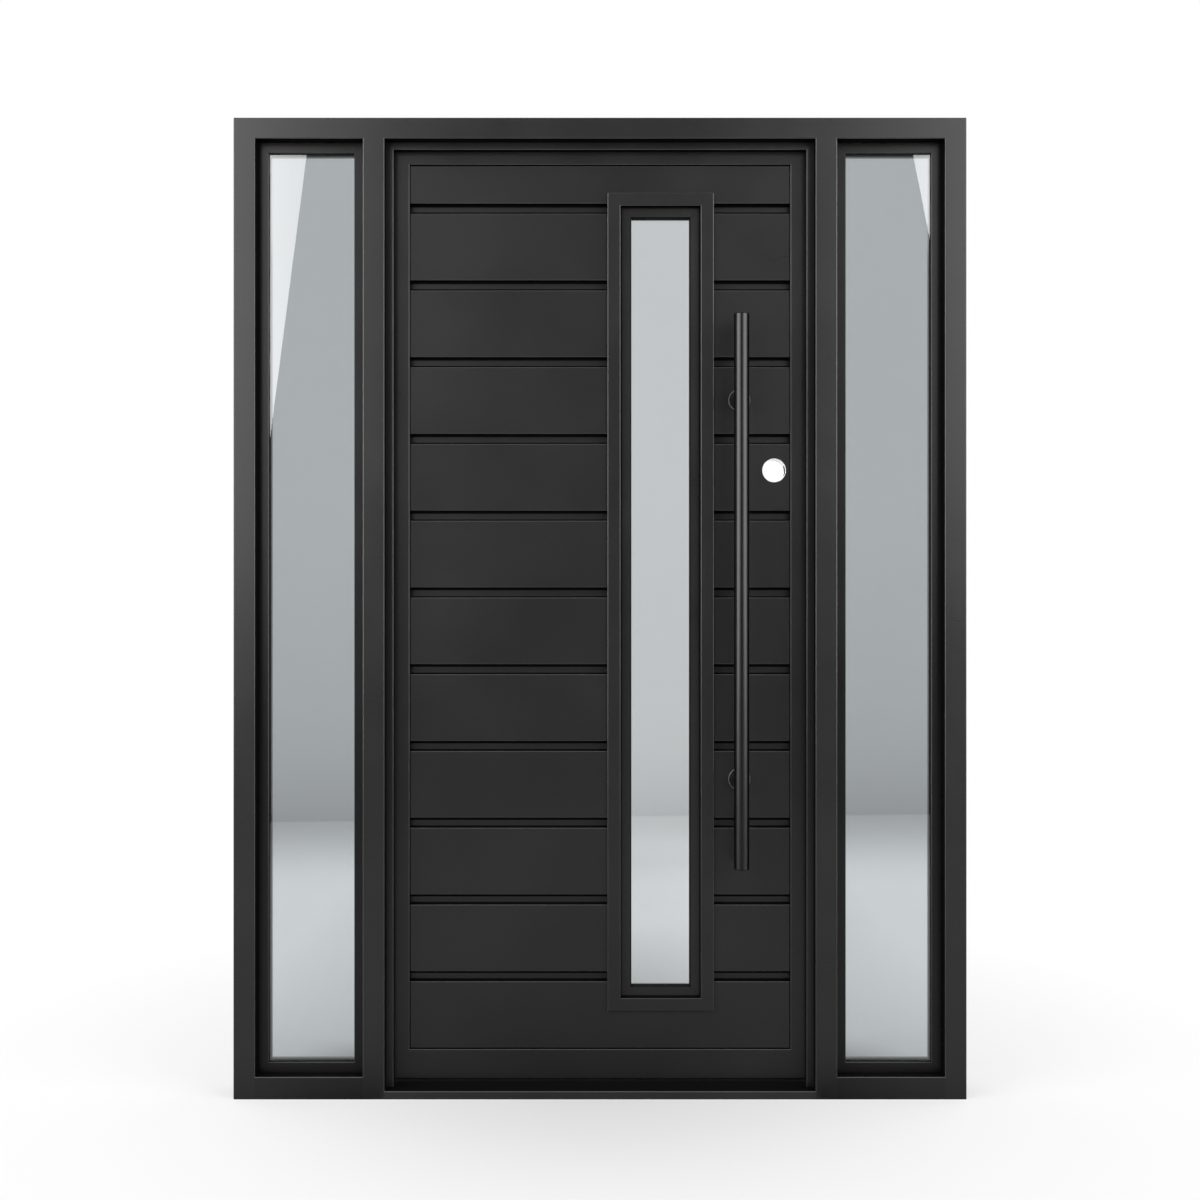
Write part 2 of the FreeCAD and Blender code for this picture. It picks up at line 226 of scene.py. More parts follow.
coatLook = {
    "dark": 0.004, "light": 0.008, "mottle": 1.6,
    "cloudShare": 0.5, "grainShare": 0.3, "speckShare": 0.2,
    "roughness": 0.30, "cloudSheen": 0.10, "grainSheen": 0.06, "specular": 0.42,
    "cloudScale": 5.0, "grainScale": 40.0, "grainStretch": (1.0, 1.0, 12.0),
    "peelScale": 420.0, "speckScale": 1300.0,
    "bump": 0.22, "bumpDepth": 0.0004, "peelHeight": 0.7, "grainHeight": 0.25, "speckHeight": 0.3,
    # the arrises are painted lighter and glossier: a painted highlight, partly handling wear
    "arris": 0.22, "rub": 0.9, "arrisHighlightEven": 0.6, "arrisHighlightCloud": 0.6, "rubbed": 0.045, "arrisHighlightSheen": 0.05,
    # painted shade: the sides of reveals and grooves are made flat and black
    "recessTone": 0.0006, "recessRoughness": 0.8, "recessSpecular": 0.05, "recessShare": 0.97,
    "recessTurn": 0.5,
}


# 1 inside a hole bored along y.
def boreMask(recipe, at, look):
    offset = recipe.add("ShaderNodeVectorMath", {"operation": "SUBTRACT"},
                        {0: at, 1: look["boreCentre"]})
    return recipe.length(recipe.stretched(offset, (1, 0, 1))).below(look["boreReach"])


# 1 on the sunk beds between the boards, and 1 on the painted shadow lines at a bed's two edges: the
# upper line is thicker on lower rows, the lower one widens above 1.065 m, the camera's height.
def bedMasks(recipe, at, look):
    bed = recipe.within(at, 1, look["bedMiddle"], look["bedReach"]) * recipe.facing(1)
    height = recipe.along(at, 2)
    offset = (height - look["firstBed"]) % look["pitch"]
    upper = height * look["jointTaper"] + look["jointTop"]
    lower = (height - look["jointWidensAt"]).atLeast(0.0) * look["jointRise"] + look["jointFoot"]
    return bed, bed * (1 - offset.below(upper)).atLeast(offset.below(lower))


# Satin powder coat: cloudy sheen, fine orange peel, a trace of brushed steel under it, with a
# painted highlight on the arrises and, where asked, painted shade in recesses.
def powderCoat(name, **changes):
    look = {**coatLook, **changes}
    recipe = newRecipe(name)
    at = recipe.texture("object")
    cloud = recipe.noise(at, look["cloudScale"], detail=3.0)
    peel = recipe.noise(at, look["peelScale"], detail=2.0)
    grain = recipe.noise(recipe.stretched(at, look["grainStretch"]), look["grainScale"],
                         detail=3.0, rough=0.6)
    speck = recipe.noise(at, look["speckScale"], detail=1.0)

    blend = cloud * look["cloudShare"] + grain * look["grainShare"] + speck * look["speckShare"]
    mottled = (blend - 0.5) * look["mottle"] + 0.5
    colour = recipe.mixColour(mottled, grey(look["dark"]), grey(look["light"]))
    # painted highlight: the arrises are mixed towards a lighter tone and made glossier
    arrisHighlightSpread = cloud * look["arrisHighlightCloud"] + look["arrisHighlightEven"]
    rubbed = recipe.arris(look["arris"]) * arrisHighlightSpread * look["rub"]
    colour = recipe.mixColour(rubbed, colour, grey(look["rubbed"]))
    rough = ((cloud - 0.5) * look["cloudSheen"] + (grain - 0.5) * look["grainSheen"]
             + look["roughness"] - rubbed * look["arrisHighlightSheen"])
    height = peel * look["peelHeight"] + grain * look["grainHeight"] + speck * look["speckHeight"]
    normal = recipe.bump(look["bump"], look["bumpDepth"], height)
    sockets = {"Base Color": colour, "Roughness": rough, "Normal": normal,
               "Specular IOR Level": look["specular"]}

    if "boreCentre" in look:  # the drilled wall is bright cut steel
        cut = boreMask(recipe, at, look)
        sockets["Base Color"] = recipe.mixColour(cut, colour, grey(look["cutSteel"]))
        cutRough = grain * look["cutGrain"] + look["cutRoughness"]
        sockets["Roughness"] = rough * (1 - cut) + cut * cutRough
        sockets["Metallic"] = cut
    if "bedMiddle" in look:
        bed, joint = bedMasks(recipe, at, look)
        # painted light: the beds are mixed towards a paler tone
        sockets["Base Color"] = recipe.mixColour(bed, sockets["Base Color"], grey(look["bed"]))
    coat = recipe.principled(sockets)
    if "recess" not in look:
        return recipe.surface(coat)

    # painted shade: faces turned across y inside the given bounds, and the bed's edge lines, go
    # flat and black
    inside = 1 - recipe.facing(1, look["recessTurn"])
    for axis, (middle, reach) in look["recess"].items():
        inside = inside * recipe.within(at, axis, middle, reach)
    if "boreCentre" in look:
        inside = inside * (1 - cut)
    if "bedMiddle" in look:
        inside = inside.atLeast(joint)
    flat = recipe.principled({
        "Base Color": grey(look["recessTone"]), "Roughness": look["recessRoughness"],
        "Normal": normal, "Specular IOR Level": look["recessSpecular"]})
    return recipe.surface(recipe.mixShader(inside * look["recessShare"], coat, flat))


metalLook = {"metallic": 1.0, "brushShare": 0.6, "cloudShare": 0.4, "bumpDepth": 0.0002}


# Dark metal of the pull bar and hinges: brushed along z, with soft sheen changes.
def darkMetal(name, **changes):
    look = {**metalLook, **changes}
    recipe = newRecipe(name)
    at = recipe.texture("object")
    brush = recipe.noise(recipe.stretched(at, look["brushStretch"]), look["brushScale"],
                         detail=4.0, rough=0.65)
    cloud = recipe.noise(at, look["cloudScale"], detail=2.0)
    colour = recipe.mixColour(brush * look["brushShare"] + cloud * look["cloudShare"],
                              grey(look["dark"]), grey(look["light"]))
    rough = ((brush - 0.5) * look["brushSheen"] + (cloud - 0.5) * look["cloudSheen"]
             + look["roughness"])
    return recipe.surface(recipe.principled({
        "Base Color": colour, "Roughness": rough,
        "Normal": recipe.bump(look["bump"], look["bumpDepth"], brush),
        "Metallic": look["metallic"], "Specular Tint": grey(look["rim"])}))


sealLook = {
    "dark": 0.003, "light": 0.008, "roughness": 0.70, "dustSheen": 0.15, "specular": 0.15,
    "dustScale": 220.0, "lineScale": 900.0, "lineStretch": (1.0, 1.0, 0.02),
    "bump": 0.3, "bumpDepth": 0.0002, "lineHeight": 0.6, "dustHeight": 0.4,
}


# Soft black seals: matte, dusty, with faint extrusion lines.
def sealRubber(name):
    look = sealLook
    recipe = newRecipe(name)
    at = recipe.texture("object")
    dust = recipe.noise(at, look["dustScale"], detail=4.0, rough=0.7)
    line = recipe.noise(recipe.stretched(at, look["lineStretch"]), look["lineScale"], detail=2.0)
    height = line * look["lineHeight"] + dust * look["dustHeight"]
    return recipe.surface(recipe.principled({
        "Base Color": recipe.mixColour(dust, grey(look["dark"]), grey(look["light"])),
        "Roughness": dust * look["dustSheen"] + look["roughness"],
        "Normal": recipe.bump(look["bump"], look["bumpDepth"], height),
        "Specular IOR Level": look["specular"]}))


glassLook = {"ior": 1.5, "coatIor": 1.95, "coatRoughness": 0.004, "haze": 0.004, "hazeScale": 3.0,
             "wave": 0.02, "waveDepth": 0.001, "waveScale": 2.2}


# Grey tinted glass with a reflective coat, a little uneven from the rollers.
def tintedGlass(name, tintLow, tintHigh):
    look = glassLook
    recipe = newRecipe(name)
    at = recipe.texture("object")
    haze = recipe.noise(at, look["hazeScale"], detail=3.0)
    wave = recipe.noise(at, look["waveScale"], detail=1.0)
    return recipe.surface(recipe.principled({
        "Base Color": recipe.mixColour(haze, tintLow, tintHigh),
        "Roughness": (haze - 0.5).atLeast(0.0) * look["haze"],
        "Normal": recipe.bump(look["wave"], look["waveDepth"], wave),
        "Transmission Weight": 1.0, "IOR": look["ior"],
        "Coat Weight": 1.0, "Coat IOR": look["coatIor"], "Coat Roughness": look["coatRoughness"]}))


print("materials")
frameHigh = cadBox[1]
panelLow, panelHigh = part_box("plank_row_01")[0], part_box("plank_row_12")[1]
plankMiddle = (panelLow[1] + panelHigh[1]) / 2

# Where painted shade blackens the sides of openings, as a middle and a reach per axis, in metres.
paintedShadeBounds = {"frameMargin": 0.01, "frameDepth": 0.054, "panelMargin": 0.003}
openings = {
    0: (0.0, frameHigh[0] - paintedShadeBounds["frameMargin"]),
    1: (0.0, paintedShadeBounds["frameDepth"]),
    2: (frameHigh[2] / 2, frameHigh[2] / 2 - paintedShadeBounds["frameMargin"]),
}
panel = {
    0: (0.0, panelHigh[0] + paintedShadeBounds["panelMargin"]),
    2: ((panelLow[2] + panelHigh[2]) / 2,
        (panelHigh[2] - panelLow[2]) / 2 + paintedShadeBounds["panelMargin"]),
}
# The beds between the boards are painted a little paler, painted light against the shade in the
# grooves, and a black painted shadow line runs along each edge.
plankLook = {
    "cloudScale": 4.0, "specular": 0.40, "recess": {},
    "bedMiddle": plankMiddle, "bedReach": 0.0086, "bed": 0.0068,
    "firstBed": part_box("plank_row_02")[0][2], "pitch": 0.1664,
    # the painted shadow lines widen above the camera's height
    "jointFoot": 0.0028, "jointRise": 0.0046, "jointWidensAt": 1.065,
    "jointTop": 0.0139, "jointTaper": 0.0017,
}
boreLook = {"boreCentre": (0.3772, plankMiddle, 1.3458), "boreReach": 0.0258,
            "cutSteel": 0.95, "cutRoughness": 0.22, "cutGrain": 0.1}

framePaint = powderCoat("framePaint", recess=openings)
leafPaint = powderCoat("leafPaint", recess=panel, specular=0.38)
plankPaint = powderCoat("plankPaint", **plankLook)
boredPaint = powderCoat("boredPaint", **boreLook, **plankLook)
# the posts get a stronger painted highlight on their arrises
postPaint = powderCoat("postPaint", cloudScale=30.0, roughness=0.24, rubbed=0.09, rub=1.0)
# on the light's beads the painted shade also covers the chamfers
beadPaint = powderCoat("beadPaint", cloudScale=7.0, recess={}, recessTurn=0.8)
# the sidelight beads are painted darker: painted shade for their deep place in the reveal
shadedBeadPaint = powderCoat("shadedBeadPaint", cloudScale=7.0, recess={}, rub=0.5,
                           dark=0.002, light=0.004, specular=0.30)
innerBeadPaint = powderCoat("innerBeadPaint", cloudScale=7.0, roughness=0.16, specular=1.0)
# the sills are painted darker than the frame: painted shade near the floor
shadedSillPaint = powderCoat("shadedSillPaint", recess=openings, specular=0.38, dark=0.0035, light=0.007)
# the threshold's top is painted black too: painted shade under the leaf
thresholdPaint = powderCoat("thresholdPaint", roughness=0.46, recess=openings)
surroundPaint = powderCoat("surroundPaint", recess={}, rub=0.6)
pullMetal = darkMetal(
    "pullMetal", dark=0.0255, light=0.0375, rim=0.0, roughness=0.32, brushSheen=0.06,
    brushScale=300.0, brushStretch=(1.0, 1.0, 0.04), cloudSheen=0.04, cloudScale=14.0, bump=0.08)
hingeMetal = darkMetal(
    "hingeMetal", dark=0.05, light=0.09, rim=0.8, roughness=0.38, brushSheen=0.12,
    brushScale=260.0, brushStretch=(1.0, 1.0, 0.06), cloudSheen=0.08, cloudScale=30.0, bump=0.10)
sealBlack = sealRubber("sealBlack")
sidelightGlass = tintedGlass("sidelightGlass", (0.47, 0.505, 0.52, 1), (0.50, 0.535, 0.55, 1))
lightGlass = tintedGlass("lightGlass", (0.66, 0.69, 0.705, 1), (0.69, 0.72, 0.735, 1))


def paintNodes(material, names):
    for name in names:
        for slot in nodes[name].material_slots:
            slot.material = material


paintNodes(framePaint, ["left_jamb", "right_jamb", "head", "left_mullion", "right_mullion",
                        "door_stop_left", "door_stop_right", "door_stop_head"])
paintNodes(shadedSillPaint, ["left_sill", "right_sill"])
paintNodes(thresholdPaint, ["threshold"])
paintNodes(leafPaint, ["hinge_stile", "lock_stile", "top_rail", "bottom_rail"])
paintNodes(surroundPaint, ["light_surround_exterior", "light_surround_interior"])
paintNodes(plankPaint, [name for name in nodes if name.startswith("plank_row")])
paintNodes(beadPaint, ["light_beads_exterior"])
paintNodes(shadedBeadPaint, ["left_sidelight_beads_exterior", "right_sidelight_beads_exterior"])
paintNodes(innerBeadPaint, ["left_sidelight_beads_interior", "right_sidelight_beads_interior",
                            "light_beads_interior"])
paintNodes(boredPaint, ["lock_plank"])
paintNodes(postPaint, ["pull_posts"])
paintNodes(pullMetal, ["pull_bar"])
paintNodes(hingeMetal, ["frame_hinges", "leaf_hinges"])
paintNodes(sealBlack, ["weatherstrip", "door_sweep"])
paintNodes(sidelightGlass, ["left_sidelight_glass", "right_sidelight_glass"])
paintNodes(lightGlass, ["light_glass"])


# Every added piece: mesh, finish and the body that it moves with.
def addPiece(name, shape, material, body):
    sharpAngle = 38
    bmesh.ops.recalc_face_normals(shape, faces=shape.faces)
    mesh = bpy.data.meshes.new(name)
    shape.to_mesh(mesh)
    shape.free()
    mesh.shade_smooth()
    mesh.set_sharp_from_angle(angle=math.radians(sharpAngle))
    mesh.materials.append(material)
    piece = bpy.data.objects.new(name, mesh)
    bpy.context.scene.collection.objects.link(piece)
    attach(piece, body)
    return piece


# Low and high corner of a node's box in millimetres.
def inMillimetres(box):
    return [[value / millimetre for value in corner] for corner in box]


def inMetres(*lengths):
    return tuple(length * millimetre for length in lengths)


# Skin over rings of points, joined into a loop or closed with flat ends.
def loft(shape, rings, loop=False):
    skins = [[shape.verts.new(point) for point in ring] for ring in rings]
    pairs = list(zip(skins, skins[1:])) + ([(skins[-1], skins[0])] if loop else [])
    for first, second in pairs:
        for i in range(len(first)):
            j = (i + 1) % len(first)
            shape.faces.new((first[i], first[j], second[j], second[i]))
    if not loop:
        shape.faces.new(skins[0][::-1])
        shape.faces.new(skins[-1])


# Profile points are (inset, y) in mm; a corner is x, z and the way its inset points.
def frameRun(shape, corners, profile, loop):
    rings = [[(x + turnX * inset * millimetre, y * millimetre, z + turnZ * inset * millimetre)
              for inset, y in profile] for x, z, turnX, turnZ in corners]
    loft(shape, rings, loop)


print("glazing gaskets")
gasket = {
    "beadWidth": 23.0, "seat": 0.02,
    "lip": [(0.10, 0.0), (0.80, 0.0), (0.90, 0.30), (0.85, 0.70), (0.70, 1.10), (0.65, 1.60),
            (0.55, 1.90), (0.50, 2.50), (0.38, 3.10), (0.10, 3.40)],
}


def addGaskets(name, beadNode, glassNode, facing, body):
    low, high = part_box(beadNode)
    glassLow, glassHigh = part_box(glassNode)
    face = (glassLow[1] if facing < 0 else glassHigh[1]) / millimetre + facing * gasket["seat"]
    profile = [(gasket["beadWidth"] + inset, face + facing * rise) for inset, rise in gasket["lip"]]
    corners = [(low[0], low[2], 1, 1), (high[0], low[2], -1, 1),
               (high[0], high[2], -1, -1), (low[0], high[2], 1, -1)]
    shape = bmesh.new()
    frameRun(shape, corners, profile, True)
    addPiece(name, shape, sealBlack, body)


for side in ("left", "right"):
    for facing, end in ((-1, "exterior"), (1, "interior")):
        addGaskets(side + "SidelightGasket_" + end, side + "_sidelight_beads_" + end,
                   side + "_sidelight_glass", facing, "frame")
for facing, end in ((-1, "exterior"), (1, "interior")):
    addGaskets("lightGasket_" + end, "light_beads_" + end, "light_glass", facing, "leaf")


print("weatherstrip")
strip = {"width": 9.0, "flange": 1.0, "flangeFall": 0.15, "seat": 0.02,
         "bulbInset": 4.5, "bulbHalf": 3.0, "bulbPower": 0.8, "steps": 12}


# A flange with a hollow bulb's outline on it, up one side, over the top and down the other.
def addWeatherstrip():
    low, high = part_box("weatherstrip")
    back = low[1] / millimetre + strip["seat"]
    top = back + strip["flange"]
    rise = high[1] / millimetre - top
    edge = top - strip["flangeFall"]
    profile = [(0, back), (strip["width"], back), (strip["width"], edge)]
    for step in range(strip["steps"] + 1):
        turn = math.pi * step / strip["steps"]
        profile.append((strip["bulbInset"] + strip["bulbHalf"] * math.cos(turn),
                        top + rise * math.sin(turn) ** strip["bulbPower"]))
    profile.append((0, edge))
    corners = [(low[0], low[2], 1, 0), (low[0], high[2], 1, -1),
               (high[0], high[2], -1, -1), (high[0], low[2], -1, 0)]
    shape = bmesh.new()
    frameRun(shape, corners, profile, False)
    piece = addPiece("doorSeal", shape, sealBlack, "frame")
    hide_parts("weatherstrip")


addWeatherstrip()

print("door sweep")
sweep = {
    "carrier": 2.0, "railDepth": 4.6, "railWidth": 1.8,
    "fins": 5, "firstFin": 0.8, "finSpread": 0.2, "finRoot": 1.5, "finTip": 0.6, "rootGap": 0.1,
    "tipGap": 0.05, "lean": 2.4, "step": 12.0, "levels": 5,
    # each wave: its share, its rate along x and its shift from fin to fin
    "ripple": 0.5, "waves": ((1.0, 0.021, 1.7), (0.5, 0.067, 1.0)),
}


# A channel under the bottom rail that holds a row of thin, rippled fins.
def addSweep():
    (x0, y0, z0), (x1, y1, z1) = inMillimetres(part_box("door_sweep"))
    under, foot = z1 - sweep["carrier"], z1 - sweep["railDepth"]
    inner, outer = y0 + sweep["railWidth"], y1 - sweep["railWidth"]
    channel = [(y0, z1), (y0, foot), (inner, foot), (inner, under),
               (outer, under), (outer, foot), (y1, foot), (y1, z1)]
    shape = bmesh.new()
    loft(shape, [[inMetres(x, y, z) for y, z in channel] for x in (x0, x1)])

    root, tip = under + sweep["rootGap"], z0 + sweep["tipGap"]
    count = int((x1 - x0) / sweep["step"])
    for fin in range(sweep["fins"]):
        across = y0 + (y1 - y0) * (fin + sweep["firstFin"]) / (sweep["fins"] + sweep["finSpread"])
        rings = []
        for station in range(count + 1):
            x = x0 + (x1 - x0) * station / count
            ripple = sweep["ripple"] * sum(
                share * math.sin(x * rate + fin * shift) for share, rate, shift in sweep["waves"])
            front, back = [], []
            for level in range(sweep["levels"] + 1):
                down = level / sweep["levels"]
                z = root + (tip - root) * down
                middle = across - (sweep["lean"] + ripple) * down * down
                half = (sweep["finRoot"] + (sweep["finTip"] - sweep["finRoot"]) * down) / 2
                front.append(inMetres(x, middle - half, z))
                back.append(inMetres(x, middle + half, z))
            rings.append(front + back[::-1])
        loft(shape, rings)
    piece = addPiece("sweepFins", shape, sealBlack, "leaf")
    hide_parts("door_sweep")


addSweep()

print("screws")
# The head's profile, its socket and their sizes are shares of the screw's radius.
screw = {
    "dome": [(1.0, 0.0), (1.0, 0.10), (0.93, 0.24), (0.78, 0.37), (0.60, 0.45), (0.46, 0.47)],
    "socket": 0.36, "socketDepth": 0.34, "socketBevel": 0.03, "points": 24,
}


# Button head with a hexagon socket, standing on a face that looks along the given way.
def addScrew(shape, at, way, radius, turn):
    frameX = Vector((0, 0, 1)) if abs(way[2]) < 0.5 else Vector((1, 0, 0))
    frameY = Vector(way).cross(frameX)
    sixth = math.pi / 3

    def ring(size, height, hexagon):
        points = []
        for step in range(screw["points"]):
            angle = 2 * math.pi * step / screw["points"]
            reach = size / math.cos((angle + sixth / 2) % sixth - sixth / 2) if hexagon else size
            flat = frameX * math.cos(angle + turn) + frameY * math.sin(angle + turn)
            offset = (flat * reach + Vector(way) * height) * radius * millimetre
            points.append(Vector(at) * millimetre + offset)
        return points

    rings = [ring(size, height, False) for size, height in screw["dome"]]
    top, bevel = screw["dome"][-1][1], screw["socketBevel"]
    rings += [ring(screw["socket"] + bevel, top, True), ring(screw["socket"], top - bevel, True),
              ring(screw["socket"], top - screw["socketDepth"], True)]
    loft(shape, rings)


hinge = {
    "half": 57.0, "face": 61.0, "rows": (-44.0, -15.0, 15.0, 44.0),
    "frameColumns": (-492.0, -478.0), "leafColumns": (-424.0, -438.0),
    "screwRadius": 4.6, "firstTurn": 0.4, "turnStep": 0.7,
    "pinAxis": (-457.25, 64.0), "pinPoints": 28,
    "pinTip": [(5.6, 0.02), (5.6, 0.9), (5.1, 1.2), (5.1, 1.6), (5.4, 1.9),
               (5.2, 2.9), (4.4, 3.7), (3.0, 4.25), (1.2, 4.45)],
}


# Middle heights of the three hinges, in millimetres.
def hingeHeights():
    low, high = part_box("frame_hinges")
    first, last = low[2] / millimetre + hinge["half"], high[2] / millimetre - hinge["half"]
    return (first, (first + last) / 2, last)


def pinRing(radius, z):
    turns = [2 * math.pi * step / hinge["pinPoints"] for step in range(hinge["pinPoints"])]
    return [inMetres(hinge["pinAxis"][0] + radius * math.cos(turn),
                     hinge["pinAxis"][1] + radius * math.sin(turn), z) for turn in turns]


# Turned tips on both ends of every hinge pin.
def addPinTips():
    shape = bmesh.new()
    for height in hingeHeights():
        for way in (-1, 1):
            loft(shape, [pinRing(radius, height + way * (hinge["half"] + rise))
                         for radius, rise in hinge["pinTip"]])
    addPiece("hingePinTips", shape, hingeMetal, "frame")


def screwsOnPlates(name, columns, body):
    shape = bmesh.new()
    for height in hingeHeights():
        for index, row in enumerate(hinge["rows"]):
            addScrew(shape, (columns[index % 2], hinge["face"], height + row), (0, 1, 0),
                     hinge["screwRadius"], hinge["firstTurn"] + index * hinge["turnStep"] + height)
    addPiece(name, shape, hingeMetal, body)


addPinTips()
screwsOnPlates("frameHingeScrews", hinge["frameColumns"], "frame")
screwsOnPlates("leafHingeScrews", hinge["leafColumns"], "leaf")

beadScrews = {"radius": 3.2, "inset": 11.5, "endGap": 80, "spacing": 330,
              "turnStep": 0.9, "turnAlong": 0.01}


# Screws down both upright beads, and one in the middle of each level bead.
def screwsOnBeads(name, node, body):
    (x0, y0, z0), (x1, face, z1) = inMillimetres(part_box(node))
    radius, inset, along = beadScrews["radius"], beadScrews["inset"], beadScrews["turnAlong"]
    run = z1 - z0 - 2 * beadScrews["endGap"]
    count = max(2, round(run / beadScrews["spacing"]) + 1)
    shape = bmesh.new()
    for x in (x0 + inset, x1 - inset):
        for step in range(count):
            z = z0 + beadScrews["endGap"] + run * step / (count - 1)
            turn = step * beadScrews["turnStep"] + x * along
            addScrew(shape, (x, face, z), (0, 1, 0), radius, turn)
    for z in (z0 + inset, z1 - inset):
        addScrew(shape, ((x0 + x1) / 2, face, z), (0, 1, 0), radius, z * along)
    addPiece(name, shape, beadPaint, body)


screwsOnBeads("leftBeadScrews", "left_sidelight_beads_interior", "frame")
screwsOnBeads("rightBeadScrews", "right_sidelight_beads_interior", "frame")
screwsOnBeads("lightBeadScrews", "light_beads_interior", "leaf")

setScrews = {"radius": 2.2, "y": -24.0, "aboveLow": 14.25, "belowHigh": 33.25, "seat": 0.15,
             "turn": 0.3}


# One set screw under each of the pull bar's posts.
def addSetScrews():
    low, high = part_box("pull_posts")
    middle = (low[0] + high[0]) / 2 / millimetre
    shape = bmesh.new()
    for z in (low[2] / millimetre + setScrews["aboveLow"],
              high[2] / millimetre - setScrews["belowHigh"]):
        addScrew(shape, (middle, setScrews["y"], z + setScrews["seat"]), (0, 0, -1),
                 setScrews["radius"], setScrews["turn"])
    addPiece("pullSetScrews", shape, pullMetal, "leaf")


addSetScrews()

print("studio")
# The studio is in metres. Its walls stand a little askew, farther away on the right.
studio = {"wallDistance": 4.55, "wallSkew": 0.09, "ambient": 0.10, "throughGlass": 0.89}


def wallAt(x):
    return studio["wallDistance"] + studio["wallSkew"] * x


def stageMesh(name, corners, material, seenBy):
    mesh = bpy.data.meshes.new(name)
    mesh.from_pydata(corners, [], [tuple(range(len(corners)))])
    mesh.materials.append(material)
    piece = bpy.data.objects.new(name, mesh)
    bpy.context.scene.collection.objects.link(piece)
    piece.visible_camera = "camera" in seenBy
    piece.visible_diffuse = "diffuse" in seenBy
    piece.visible_glossy = "glossy" in seenBy
    piece.visible_transmission = "transmission" in seenBy
    piece.visible_shadow = "shadow" in seenBy


# World: white to the camera, grey through glass, soft grey as light.
def makeWorld():
    world = bpy.data.worlds.new("studioWorld")
    bpy.context.scene.world = world
    recipe = Recipe(world)
    ambient, throughGlass = studio["ambient"], studio["throughGlass"]
    shade = (recipe.ray("camera") * (1 - ambient)
             + recipe.ray("transmission") * (throughGlass - ambient) + ambient)
    recipe.surface(recipe.add("ShaderNodeBackground", None, {
        "Color": recipe.mixColour(shade, grey(0.0), grey(1.0)), "Strength": 1.0}))


floor = {
    "size": 60.0, "tone": 0.46, "glow": 1.17, "mirrored": 0.72,
    "near": 0.15, "fade": 2.2, "fadeStretch": (1.35, 1, 1),
    # the stops and the terms below paint shade and light into the glowing strip
    "stops": [(0.0, 0.42), (0.03, 0.62), (0.07, 0.80), (0.12, 0.875), (0.19, 0.93), (0.27, 0.97),
              (0.36, 0.99), (0.48, 1.0), (0.57, 1.0), (0.66, 0.945), (0.77, 0.79), (0.87, 0.66),
              (0.95, 0.59), (1.0, 0.56)],
    "middleSpan": 0.9, "dimBefore": 0.98, "dimMost": 0.3, "dimShare": 0.75,
    "liftAfter": 0.68, "liftMost": 0.12,
    "cornerDepth": 0.10, "cornerInner": 0.47, "cornerOuter": 0.72, "cornerShade": 53.0,
    "footSpan": 0.2, "footDepth": 0.41, "footShade": 1.4,
}


# The glowing strip that the glass shows, with painted shade and light: its ramp darkens it at the
# door and at the wall, the middle, the sill corners and the leaf's foot are darkened further, and
# the far middle is lifted. away is 0 under the door and 1 at the wall.
def litStrip(recipe, at):
    across = recipe.along(at, 0)
    depth = recipe.along(at, 1)
    away = abs(depth) / (across * studio["wallSkew"] + studio["wallDistance"])
    shade = recipe.ramp(floor["stops"], away)
    middle = (1.0 - (across * across) / floor["middleSpan"]).atLeast(0.0)
    dim = (floor["dimBefore"] - away).atLeast(0.0).atMost(floor["dimMost"])
    shade = shade * (1.0 - middle * dim * floor["dimShare"])
    lift = (away - floor["liftAfter"]).atLeast(0.0).atMost(floor["liftMost"])
    shade = shade * (1.0 + middle * lift)
    aside = abs(across)
    corner = ((floor["cornerDepth"] - away).atLeast(0.0)
              * (floor["cornerOuter"] - aside).atLeast(0.0)
              * (1 - aside.below(floor["cornerInner"])))
    shade = shade * (1.0 - corner * floor["cornerShade"]).atLeast(0.0)
    foot = ((1.0 - (across * across) / floor["footSpan"]).atLeast(0.0)
            * (floor["footDepth"] - away).atLeast(0.0))
    return shade * (1.0 - foot * floor["footShade"])


# Floor: white far away; near the door it fades to a darker matt, painted shade on top of the shadow
# it keeps, and it shows the glass a lit strip.
def makeFloor():
    recipe = newRecipe("studioFloor")
    at = recipe.texture("object")
    far = recipe.length(recipe.stretched(at, floor["fadeStretch"]))
    # painted shade: the white share falls towards the door, leaving the darker matt
    white = (far / floor["fade"]).atMost(1.0) * (1 - floor["near"]) + floor["near"]
    through = recipe.ray("transmission")
    mirror = (recipe.ray("glossy") - through).atLeast(0.0)
    shade = litStrip(recipe, at) * (1 - mirror * (1 - floor["mirrored"] / floor["glow"]))
    matt = recipe.add("ShaderNodeBsdfDiffuse", None, {"Color": grey(floor["tone"])})
    seen = recipe.mixShader(recipe.ray("camera") * white, matt, recipe.emission(grey(1.0), 1.0))
    both = recipe.mixShader(mirror.atLeast(through), seen, recipe.glow(shade, floor["glow"]))
    half = floor["size"] / 2
    stageMesh("floor", [(-half, -half, 0), (half, -half, 0), (half, half, 0), (-half, half, 0)],
              recipe.surface(both), ("camera", "diffuse", "glossy", "transmission", "shadow"))


wall = {
    "width": 14.0, "height": 7.0, "frontMirror": 0.17, "rearMirror": 1.0, "stopsHeight": 4.4,
    "stops": [(0.0, 0.70), (0.012, 0.74), (0.04, 0.80), (0.075, 0.86), (0.13, 0.91), (0.19, 0.94),
              (0.25, 0.97), (0.36, 1.0), (1.0, 1.0)],
    "middleSpan": 0.9, "middleTop": 1.1, "middleLift": 0.12,
}


